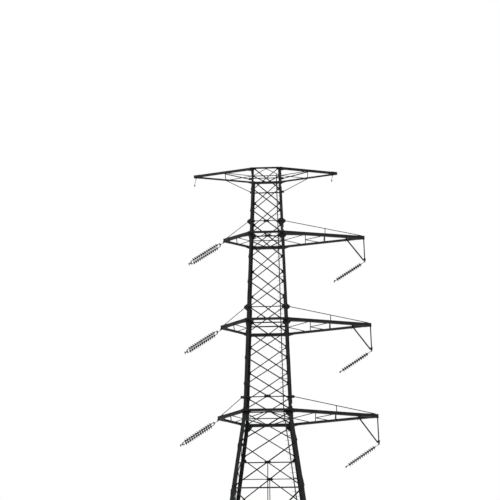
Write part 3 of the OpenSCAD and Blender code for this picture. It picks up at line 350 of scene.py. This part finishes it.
# Bolts of the lattice
# Hot-dip galvanised M16 bolts hold every bracing bar to its gusset and every gusset to the leg: a chamfered
# hexagon head on a round washer outside, and a plain nut with the thread's end standing out of it inside.
bolt_w = 0.024               # across the flats of a head
bolt_turn = 2.4              # each bolt stands turned this far past the one before, in radians
bolt_edge = 0.014            # a leg's flange reaches at least this far past a bolt that goes through it
steel_leg = {"upper": (0.014, 0.140), "middle": (0.014, 0.190), "lower": (0.020, 0.220)}
seat = 0.0003                # left between two parts that bear on each other
bar_lift = 0.003             # of a bar over the seat of its gusset
bar_t = 0.007
strut_t = 0.008
gusset_t = 0.008
chord_t = 0.014
level_plate_t = 0.010        # of the level gussets on the crossarms
chord_lift = 0.0101          # from a face of the body to a chord or a strut that lies on it
heel_gap = 0.125             # from a leg's heel to the end of a bar
leg_bolt_in = 0.094          # from a leg's heel to the bolts that hold a gusset on it
leg_bolt_rows = (-0.034, 0.0, 0.034)
bar_bolts = (0.37, 0.90)     # bolts along a bar's end, as shares of its gusset's reach
plated_bolt = 0.075          # from a plated crossing to the bolts on either side of it
cage_reach = 0.130           # of a gusset along its bar, in the cage
bend_reach = 0.150           # the same in the first panel under the bend
body_reach = 0.190           # and in the panels below that
upper_lo, upper_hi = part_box("upper_leg_front_left")
lower_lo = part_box("lower_leg_front_left")[0]
bend_z = upper_lo.z
waist = -upper_lo.x
upper_lean = (waist + upper_hi.x - steel_leg["upper"][1]) / (upper_hi.z - bend_z)
lower_lean = (-lower_lo.x - waist) / (bend_z - lower_lo.z)
arm_chords = {"earth": 0.130, "top": 0.170, "middle": 0.170, "bottom": 0.170}
arm_boxes = {arm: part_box(arm + "_crossarm") for arm in arm_chords}
arm_z = {arm: arm_boxes[arm][1].z - level_plate_t - chord / 2 for arm, chord in arm_chords.items()}
tie_rise = 0.820
tie_z = {arm: arm_z[arm] + tie_rise for arm in ("top", "middle", "bottom")}
brace_z = 38.463
leg_change_z = 30.090        # the splice above which the legs are narrower
cage_levels = [39.250, 37.650, 36.050, 34.450, 32.690, 30.950, 29.230, 27.530, 25.850, 24.190, 22.550]
body_levels = [22.475, 20.560, 17.830, 13.200, 7.400]
head_gap = 0.020             # from the top level of the cage to its first panel
waist_gap = 0.060            # from its lowest level to its last panel
node_gap = 0.070             # from a level of the body under the bend to the panels above and below it
cage_panels = [[low, high] for high, low in zip(cage_levels, cage_levels[1:])]
cage_panels[0][1] -= head_gap
cage_panels[-1][0] += waist_gap
body_panels = [(low + node_gap, high - node_gap) for high, low in zip(body_levels, body_levels[1:])]
plated_cage = (2, 9)         # panels of the cage whose crossings are plated
chord_margin = 0.015         # the bracing has no bolt this near the edge of a chord
strut_margin = 0.045         # nor this near the middle of a strut
bend_margin = 0.100          # nor this near the bend


def half_w(z):
    """Half width of the body at height z: two straight tapers that meet at the bend."""
    return waist - upper_lean * (z - bend_z) if z >= bend_z else waist + lower_lean * (bend_z - z)


def face_v(z):
    """Distance up the leaning face from the bend: the height times the root of one plus lean squared."""
    lean = upper_lean if z >= bend_z else lower_lean
    return (z - bend_z) * math.sqrt(1.0 + lean * lean)


def crossing_v(low, high):
    """Distance up the face where a panel's diagonals cross: its height shared out by the two half widths."""
    w0, w1 = half_w(low) - heel_gap, half_w(high) - heel_gap
    return face_v(low) + (face_v(high) - face_v(low)) * w0 / (w0 + w1)


def bolt_shape():
    """Head, washer, nut and thread end as turned prisms, one unit across flats; far marks the nut's end."""
    parts = [([(0.49, 0.54), (0.577, 0.46), (0.577, 0.12)], 6, 0.0),
             ([(0.62, 0.12), (0.62, 0.0)], 10, 0.0),
             ([(0.577, 0.0), (0.577, -0.42), (0.50, -0.50)], 6, 1.0),
             ([(0.30, -0.50), (0.30, -0.74)], 8, 1.0)]
    far = np.concatenate([np.full(len(outline) * sides, end) for outline, sides, end in parts])
    return *joined([turned(outline, sides, False) for outline, sides, _ in parts]), far


def bolted(name, rows, body="tower"):
    """One piece from rows of (head seat xyz, axis xyz, grip, flats), each turned further than the last."""
    rows = np.concatenate(rows)
    shape, shape_faces, far = bolt_shape()
    seats, axes, grips, flats = rows[:, :3], rows[:, 3:6], rows[:, 6:7], rows[:, 7:8]
    level = np.where(np.abs(axes[:, 2:3]) < 0.9, [[0.0, 0.0, 1.0]], [[1.0, 0.0, 0.0]])
    across = np.cross(level, axes)
    across /= np.linalg.norm(across, axis=1, keepdims=True)
    along = np.cross(axes, across)
    spin = (bolt_turn * np.arange(len(rows)))[:, None]
    u = np.cos(spin) * across + np.sin(spin) * along
    v = np.cos(spin) * along - np.sin(spin) * across
    grown = flats[:, None] * shape[None]
    points = (seats[:, None] + grown[:, :, :1] * u[:, None] + grown[:, :, 1:2] * v[:, None]
              + (grown[:, :, 2:] - far[None, :, None] * grips[:, None]) * axes[:, None])
    piece = mesh_piece(name, *joined([(bolt, shape_faces) for bolt in points]))
    piece.data.materials.append(bolt_zinc)
    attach(piece, body)
    return piece


def face_turn(lean, side):
    """Rotation that takes (across, up, out) of a leaning face into the tower: tipped, then quarter turns."""
    a = math.atan(lean)
    c, s = math.cos(side * math.pi / 2), math.sin(side * math.pi / 2)
    tipped = np.array([[1.0, 0.0, 0.0], [0.0, math.sin(a), -math.cos(a)], [0.0, math.cos(a), math.sin(a)]])
    return np.array([[c, -s, 0.0], [s, c, 0.0], [0.0, 0.0, 1.0]]) @ tipped


def in_face(points, lean, side):
    """Points (across, up, out) of a leaning face, in the tower: turned, then moved to that side's bend."""
    middle = np.array([waist * math.sin(side * math.pi / 2), -waist * math.cos(side * math.pi / 2), bend_z])
    return points @ face_turn(lean, side).T + middle


def on_faces(spots, lean, sides):
    """Spots (across, up, head seat, nut seat) in a leaning face, on each of the sides: rows for bolted."""
    spots = np.asarray(spots, float)
    width = np.full(len(spots), bolt_w)
    return np.concatenate([np.column_stack([
        in_face(spots[:, :3], lean, side), np.tile(face_turn(lean, side)[:, 2], (len(spots), 1)),
        spots[:, 2] - spots[:, 3], width]) for side in sides])


def panel_bolts(low, high, leg, hand, reach, plated, leg_rows):
    """Bolts of one X: two along each bar's end, the gussets' own as leg_rows says, those at the crossing."""
    leg_t, leg_b = steel_leg[leg]
    inner = -leg_t - seat
    back = inner - bar_lift - bar_t
    face = seat + bar_lift + bar_t
    v0, v1 = face_v(low), face_v(high)
    w0, w1 = half_w(low) - heel_gap, half_w(high) - heel_gap
    spots = []
    ends = ((-hand * w0, v0, hand * w1, v1, True), (hand * w1, v1, -hand * w0, v0, True),
            (hand * w0, v0, -hand * w1, v1, False), (-hand * w1, v1, hand * w0, v0, False))
    for x, v, far_x, far_v, outer in ends:
        run = math.hypot(far_x - x, far_v - v)
        heel = abs(x) + heel_gap
        for share in bar_bolts:
            px = x + share * reach * (far_x - x) / run
            pv = v + share * reach * (far_v - v) / run
            on_leg = heel - abs(px) + bolt_edge < leg_b
            out = face if outer else (0.0 if on_leg else inner)
            deep = back if not outer else (-leg_t if on_leg else seat)
            spots.append((px, pv, out, deep))
        if leg_rows == "both" and outer:
            spots += [(math.copysign(heel - leg_bolt_in, x), v + row, seat + gusset_t, inner - gusset_t)
                      for row in leg_bolt_rows]
        if leg_rows == "own":
            out, deep = (seat + gusset_t, -leg_t) if outer else (0.0, inner - gusset_t)
            spots += [(math.copysign(heel - leg_bolt_in, x), v + row, out, deep) for row in leg_bolt_rows]
    crossing = crossing_v(low, high)
    spots.append((0.0, crossing, face, back))
    if plated:
        rise = (v1 - v0) / math.hypot(v1 - v0, w0 + w1)
        flat = (w0 + w1) / math.hypot(v1 - v0, w0 + w1)
        for end in (-plated_bolt, plated_bolt):
            spots.append((hand * end * flat, crossing + end * rise, face, inner - bar_lift))
            spots.append((-hand * end * flat, crossing + end * rise, seat + bar_lift, back))
    return spots


covered = [(arm_z[arm], chord / 2 + chord_margin) for arm, chord in arm_chords.items()]
covered += [(z, strut_margin) for z in (*tie_z.values(), brace_z)]
cage_spots = []
for i, (low, high) in enumerate(cage_panels):
    leg = "upper" if low > leg_change_z else "middle"
    cage_spots += panel_bolts(low, high, leg, -1, cage_reach, i in plated_cage, "both")
cage_spots = [spot for spot in cage_spots if all(abs(spot[1] - face_v(z)) > gap for z, gap in covered)]
body_spots = []
for i, (low, high) in enumerate(body_panels):
    body_spots += panel_bolts(low, high, "lower", 1, body_reach if i else bend_reach, i > 0, "own")

# struts between the legs under the bend, and the gussets at the bend itself
strut_bolt_ins = (0.165, 0.205)
strut_back = -steel_leg["lower"][0] - seat - strut_t
bend_bolt_drops = (0.300, 0.225, 0.150)
bend_plate_back = -0.0285    # under the nuts of the gussets at the bend
for z in body_levels[2:]:
    for x in strut_bolt_ins:
        body_spots += [(m * (half_w(z) - x), face_v(z), 0.0, strut_back) for m in (-1, 1)]
for m in (-1, 1):
    body_spots += [(m * (half_w(bend_z) - leg_bolt_in), face_v(body_levels[0]) - drop, 0.0, bend_plate_back)
                   for drop in bend_bolt_drops]
body_spots = [spot for spot in body_spots if abs(spot[1]) > bend_margin]

# struts between the legs where the ties and the braces start, and the chords and side struts of the arms
tie_strut_ins = (0.072, 0.112)
chord_ins = (0.050, 0.108)
chord_rows = (-0.2, 0.25)    # shares of a chord's width, from its middle line
side_strut_rise = 0.030      # from a chord's lower edge to the bolts of the side struts
leg_back = -steel_leg["upper"][0]
strut_face = chord_lift + bar_t
chord_face = chord_lift + chord_t
bar_face = seat + bar_lift + bar_t
bar_back = leg_back - bar_face
long_spots = []
side_spots = []
for z in (*tie_z.values(), brace_z):
    long_spots += [(m * (half_w(z) - x), face_v(z), strut_face, leg_back)
                   for m in (-1, 1) for x in tie_strut_ins]
for arm, chord in arm_chords.items():
    z = arm_z[arm]
    for m in (-1, 1):
        for x in chord_ins:
            long_spots += [(m * (half_w(z) - x), face_v(z) + chord * row, chord_face, leg_back)
                           for row in chord_rows]
            side_v = face_v(z) - chord / 2 + side_strut_rise
            side_spots.append((m * (half_w(z) - x), side_v, strut_face, leg_back))
long_spots += [(0.0, face_v(arm_z["middle"]), chord_face, bar_back),
               (0.0, face_v(brace_z), strut_face, bar_back)]
side_spots += [(0.0, face_v(brace_z), bar_face, bar_back)]
bolt_zinc = weathered_zinc_painted_shade("galvanised_bolts", rust_share=0.35)
for side, side_name in enumerate(("front", "right", "rear", "left")):
    bolted(side_name + "_bracing_bolts", [
        on_faces(cage_spots, upper_lean, [side]), on_faces(body_spots, lower_lean, [side]),
        on_faces(side_spots if side % 2 else long_spots, upper_lean, [side])])

# Plates where the ties start
# Flame-cut plates let into the faces: one on each leg under a tie's strut, a wing above and one below each
# fin that takes a tie, and a long plate where two diagonals cross.
plate_gap = 0.0004
plate_out = 0.0096
cross_depths = (-0.0125, -0.0025)    # between the outer and the inner diagonals
fin_in = 0.058               # from a leg's heel to the middle of a fin
fin_t = 0.012
leg_plate = np.array([(0.006, -0.215), (0.150, -0.215), (0.320, -0.055), (0.320, 0.055), (0.150, 0.215),
                      (0.006, 0.215)])
fin_wing = np.array([(0.0006, 0.0855), (0.0006, 0.235), (0.165, 0.0855)])
cross_plate = np.array([(-0.195, -0.040), (-0.110, -0.088), (0.110, -0.088), (0.195, -0.040),
                        (0.195, 0.040), (0.110, 0.088), (-0.110, 0.088), (-0.195, 0.040)])
crossed = [(cage_panels[i], upper_lean) for i in plated_cage]
crossed += [(panel, lower_lean) for panel in body_panels[1:]]


def flat_plate(outline, low, high):
    """A flat outline given depth: the same ring at two depths, joined by one band and closed by two ends."""
    count = len(outline)
    ring_pair = np.column_stack([np.tile(outline, (2, 1)), np.repeat([high, low], count)])
    faces = grid_faces(2, count, False, True)[:, ::-1].tolist()
    return ring_pair, faces + [list(range(count)), list(range(2 * count - 1, count - 1, -1))]


tie_spots = [(z, m) for z in (tie_z["top"], tie_z["middle"]) for m in (-1, 1)]
plate_parts = []
for side in range(4):
    if side % 2 == 0:
        for z, m in tie_spots:
            outline = leg_plate[::-1] * [-1.0, 1.0] if m > 0 else leg_plate
            points, faces = flat_plate(outline + [m * half_w(z), face_v(z)], plate_gap, plate_out)
            plate_parts.append((in_face(points, upper_lean, side), faces))
    for levels, lean in crossed:
        points, faces = flat_plate(cross_plate + [0.0, crossing_v(*levels)], *cross_depths)
        plate_parts.append((in_face(points, lean, side), faces))
    if side % 2 == 1:
        for z, m in tie_spots:
            across = m * (half_w(z) - fin_in)
            for outline in (fin_wing, fin_wing[::-1] * [1.0, -1.0]):
                points, faces = flat_plate(outline, across - fin_t / 2, across + fin_t / 2)
                upright = points[:, ::-1] + [0.0, face_v(z), 0.0]
                plate_parts.append((in_face(upright, upper_lean, side), faces))
plates = mesh_piece("tie_and_crossing_plates", *joined(plate_parts))
plates.data.materials.append(tower_zinc)
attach(plates, "tower")
plate_bolt_in = 0.055        # from a leg's heel to the bolts above and below the strut
plate_bolt_rows = (-0.170, -0.100, 0.100, 0.170)
plate_spots = [(m * (half_w(z) - plate_bolt_in - upper_lean * row), face_v(z) + row, plate_out, leg_back)
               for z, m in tie_spots for row in plate_bolt_rows]
bolted("tie_plate_bolts", [on_faces(plate_spots, upper_lean, (0, 2))])

# Leg splices
# Where two lengths of a leg meet end to end, a cover angle inside takes two staggered rows of M20 bolts
# through each flange.
splice_z = (leg_change_z, 14.8205, 9.430, 4.736)
splice_ins = {"upper": (0.050, 0.092), "lower": (0.070, 0.150)}
splice_rows = np.linspace(-0.250, 0.250, 6)
splice_rise = 0.050          # the second row of bolts is set half a space higher
cover_t = 0.010
splices = []
for z in splice_z:
    leg, lean = ("upper", upper_lean) if z > bend_z else ("lower", lower_lean)
    first, second = splice_ins[leg]
    columns = ((first, splice_rows - splice_rise / 2), (second, splice_rows + splice_rise / 2))
    spots = [(m * (half_w(z) - x - lean * row), face_v(z) + row, 0.0, -steel_leg[leg][0] - cover_t)
             for m in (-1, 1) for x, rows in columns for row in rows]
    splices.append(on_faces(spots, lean, range(4)))
bolted("leg_splice_bolts", splices)

# Leg bracing near the ground
# The raking bars and their redundants are bolted straight to the inside of the leg flanges.
rake_foot_z = 0.420
rake_foot_in = 0.145         # from the leg's heel
rake_head_z = 7.310
rake_head_x = 0.110          # from the middle of the face
rake_runs = (0.035, 0.085, 0.135)
rake_shares = (0.25, 0.5, 0.75)              # where the redundants meet a raking bar
redundant_shares = (0.25, 0.5, 0.75, 0.97)   # and where they meet the leg
redundant_in = 0.168         # from the leg's heel
rake_front = -steel_leg["lower"][0] - seat
rake_back = rake_front - strut_t
meeting_back = -0.0340       # under the nuts where a redundant meets a raking bar
redundant_back = -0.0268     # under the nuts where it meets the leg
rake_spots = []
foot = np.array([half_w(rake_foot_z) - rake_foot_in, face_v(rake_foot_z)])
head = np.array([rake_head_x, face_v(rake_head_z)])
toward = (head - foot) / np.linalg.norm(head - foot)
for m in (-1, 1):
    for run in rake_runs:
        spot = foot + run * toward
        rake_spots.append((m * spot[0], spot[1], 0.0, rake_back))
    for share in rake_shares:
        spot = foot + share * (head - foot)
        rake_spots.append((m * spot[0], spot[1], rake_front, meeting_back))
    for share in redundant_shares:
        z = rake_foot_z + share * (rake_head_z - rake_foot_z)
        rake_spots.append((m * (half_w(z) - redundant_in), face_v(z), 0.0, redundant_back))
bolted("leg_bracing_bolts", [on_faces(rake_spots, lower_lean, range(4))])

# Bolts of the crossarms
# M16 bolts stand upright through the level gussets round the legs, the plan bracing and the plates at the
# tips, their heads underneath.
tip_half = 0.060
tip_over = 0.008             # the plates at a tip reach this far past it
corner_runs = (0.220, 0.150, 0.080)          # in from the corner of the body
chord_runs = (0.05, 0.12, 0.19)              # out along a chord
tip_runs = (0.05, 0.12, 0.19, 0.26, 0.33)    # in from the tip
tip_bolt_in = 0.055          # from a chord's outer face
tip_bolt_least = 0.025       # from the middle of the arm
plan_shares = (0.27, 0.5)    # where the plan bracing meets the chords; a left arm has the second alone
earth_plan_x = 2.720         # the same on the earth-wire crossarm, from the tower's middle
plan_shifts = (-0.018, -0.085)
arm_rows = []
for arm, chord in arm_chords.items():
    z = arm_z[arm]
    c = half_w(z) + chord_lift
    under = z - chord / 2
    for m, reach in ((1, arm_boxes[arm][1].x - tip_over), (-1, -arm_boxes[arm][0].x - tip_over)):
        lean = (c - tip_half) / (reach - c)
        along = np.array([1.0, -lean]) / math.hypot(1.0, lean)
        square_in = np.array([along[1], -along[0]])
        start = chord * lean
        heads = [(c - x, c + chord * 0.5) for x in corner_runs]
        heads += [np.array([c, c]) + (start + run) * along + square_in * chord * 0.45 for run in chord_runs]
        heads += [(reach - run, max(tip_half + run * lean - tip_bolt_in, tip_bolt_least)) for run in tip_runs]
        for x, y in heads:
            arm_rows += [(m * x, side * y, under - level_plate_t, 0.0, 0.0, -1.0,
                          level_plate_t + chord_t, bolt_w) for side in (-1, 1)]
        shares = plan_shares if m > 0 else plan_shares[1:]
        stations = [half_w(z) + share * (reach - half_w(z)) for share in shares]
        for x in [earth_plan_x] if arm == "earth" else stations:
            y = c - (x - c) * lean - chord * 0.4
            arm_rows += [(m * (x + shift), side * y, under, 0.0, 0.0, -1.0, chord_t, bolt_w)
                         for side in (-1, 1) for shift in plan_shifts]
bolted("crossarm_bolts", [np.array(arm_rows)])

# Bolts of the drop brackets
# Each bracket is pinned together through its foot plate and hangs from four bolts under the arm's tip.
bracket_in = 0.060           # from the arm's tip in to the bracket
bracket_drop = 1.720
bracket_reach = 1.100        # from the bracket's foot in to the top of its raking bar
foot_half = 0.016            # half the grip of the bolts through a foot plate
foot_bolt_w = bolt_w * 0.8
foot_shift = 0.008           # of the hanger's bolts, out from its middle line
hanger_runs = (0.105, 0.155, 0.205)
rake_bar_runs = (0.160, 0.205)
head_shifts = (-0.048, 0.036)
head_half = 0.050
head_grip = 0.025
bracket_rows = []
for arm in ("top", "middle", "bottom"):
    x = arm_boxes[arm][1].x - tip_over - bracket_in
    z = arm_z[arm] - bracket_drop
    half_chord = arm_chords[arm] / 2
    tilt = math.atan2(bracket_reach, bracket_drop - half_chord)
    spots = [(x + foot_shift, z + run) for run in hanger_runs]
    spots += [(x - run * math.sin(tilt), z + run * math.cos(tilt)) for run in rake_bar_runs]
    bracket_rows += [(across, -foot_half, up, 0.0, -1.0, 0.0, 2 * foot_half, foot_bolt_w)
                     for across, up in spots]
    hung = arm_z[arm] - half_chord - 2 * level_plate_t - seat
    bracket_rows += [(x + shift, side * head_half, hung, 0.0, 0.0, -1.0, head_grip, bolt_w)
                     for shift in head_shifts for side in (-1, 1)]
bolted("drop_bracket_bolts", [np.array(bracket_rows)])

# Anchor bolts
# Four M36 studs cast into each foundation come up through a base plate, with a square plate washer and two
# nuts locked against each other.
anchor_r = 0.018
anchor_top = 0.165
anchor_point = 0.006         # length of the stud's chamfered end
anchor_foot = 0.002
base_top = lower_lo.z - seat
plate_mid = 4.270
anchor_square = 0.250
washer_r = 0.066
washer_t = 0.010
nut_w = 0.055
nut_point = 0.004
nut_levels = ((washer_t, 0.042, 0.4), (0.0425, 0.072, 0.9))  # bottom and top over the plate, and turn
places = [(sx * plate_mid + dx * anchor_square, sy * plate_mid + dy * anchor_square, 0.0)
          for sx in (-1, 1) for sy in (-1, 1) for dx in (-1, 1) for dy in (-1, 1)]
anchor_shapes = [([(anchor_r * 0.7, anchor_top), (anchor_r, anchor_top - anchor_point),
                   (anchor_r, anchor_foot)], 20, 0.0),
                 ([(washer_r, base_top + washer_t), (washer_r, base_top)], 4, math.pi / 4)]
anchor_shapes += [([(nut_w * 0.50, base_top + high), (nut_w * 0.577, base_top + high - nut_point),
                    (nut_w * 0.577, base_top + low)], 6, twist) for low, high, twist in nut_levels]
anchor_parts = []
for outline, sides, twist in anchor_shapes:
    points, faces = turned(outline, sides, False)
    c, s = math.cos(twist), math.sin(twist)
    points = points @ np.array([[c, s, 0.0], [-s, c, 0.0], [0.0, 0.0, 1.0]])
    anchor_parts.append(stacked(points, faces, places))
anchors = mesh_piece("anchor_bolts", *joined(anchor_parts))
anchors.data.materials.append(bolt_zinc)
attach(anchors, "tower")

# Steps of the climbing rail
# Round steel pegs pass through the channel beside the front right leg and turn up at both ends, so that a
# boot can't slide off.
step_r = 0.008
step_sides = 6
step_reach = 0.150
step_lip = 0.028
step_space = 0.280
first_step = 0.15            # from the rail's foot
last_step = 0.05             # from its head
rail_depth = 0.150
rail_ins = ((2.600, 0.640), (22.550, 0.480), (38.830, 0.265))    # heights, and how far inside the leg
rail_z, rail_in = zip(*rail_ins)
step_z = np.arange(rail_z[0] + first_step, rail_z[-1] - last_step, step_space)
widths = np.array([half_w(z) for z in step_z])
step_mid = np.stack([widths - np.interp(step_z, rail_z, rail_in), rail_depth - widths, step_z], 1)


def step_shape():
    """A bar along X whose two ends bend up: six-sided rings set square to a path of six points."""
    path = np.array([(-step_reach, step_lip), (-step_reach + 0.003, 0.008), (-step_reach + 0.012, 0.0),
                     (step_reach - 0.012, 0.0), (step_reach - 0.003, 0.008), (step_reach, step_lip)])
    ahead = np.gradient(path, axis=0)
    ahead /= np.linalg.norm(ahead, axis=1, keepdims=True)
    turn = np.linspace(0.0, 2.0 * np.pi, step_sides, endpoint=False)
    off = step_r * np.cos(turn)
    points = np.stack([path[:, :1] - ahead[:, 1:] * off, np.tile(step_r * np.sin(turn), (len(path), 1)),
                       path[:, 1:] + ahead[:, :1] * off], 2).reshape(-1, 3)
    faces = grid_faces(len(path), step_sides, False, True).tolist()
    return points, faces + [list(range(step_sides))[::-1], list(range(len(points) - step_sides, len(points)))]


steps = mesh_piece("climbing_steps", *stacked(*step_shape(), step_mid))
steps.data.materials.append(bolt_zinc)
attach(steps, "tower")

# Fastenings of the strings
# Forged steel shackle pins with a head and a nut, clevis pins through the yoke plates, and the two U-bolts
# whose nuts press down each clamp's keeper.
twin_clamp_z = -2.668        # from a string's pin down to the keeper of its clamp
single_clamp_z = -2.378
pin_grip = 0.049             # of the shackle pin, between its head and its nut
pin_w = 0.036
clevis_grip = 0.040
clevis_top_z = -0.325
clevis_drop = 0.115          # from the last disc down to the lower clevis pins
yoke_grip = 0.028
yoke_pin_z = -0.243
clevis_w = 0.024
keeper_top = 0.012
keeper_half = 0.030          # half the width of a U-bolt
u_bolt_half = 0.050          # half the distance between the two
u_bolt_grip = 0.024
u_bolt_w = 0.020
for body in string_places:
    left = "left" in body
    clamp = twin_clamp_z if left else single_clamp_z
    rows = [(0.0, -pin_grip / 2, 0.0, 0.0, -1.0, 0.0, pin_grip, pin_w)]
    if left:
        depths = (clevis_top_z, twin_start - discs * disc_pitch - clevis_drop)
        rows += [(clevis_grip / 2, side * twin_half_gap, depth, 1.0, 0.0, 0.0, clevis_grip, clevis_w)
                 for side in (-1, 1) for depth in depths]
        rows.append((yoke_grip / 2, 0.0, yoke_pin_z, 1.0, 0.0, 0.0, yoke_grip, clevis_w))
    rows += [(across, side * u_bolt_half, clamp + keeper_top, 0.0, 0.0, 1.0, u_bolt_grip, u_bolt_w)
             for across in (-keeper_half, keeper_half) for side in (-1, 1)]
    rows = np.array(rows)
    rows[:, :3] = swung(rows[:, :3], body)
    rows[:, 3:6] = swung(rows[:, 3:6], body) - string_places[body]
    bolted(body.replace("_string", "_fastenings"), [rows], body)
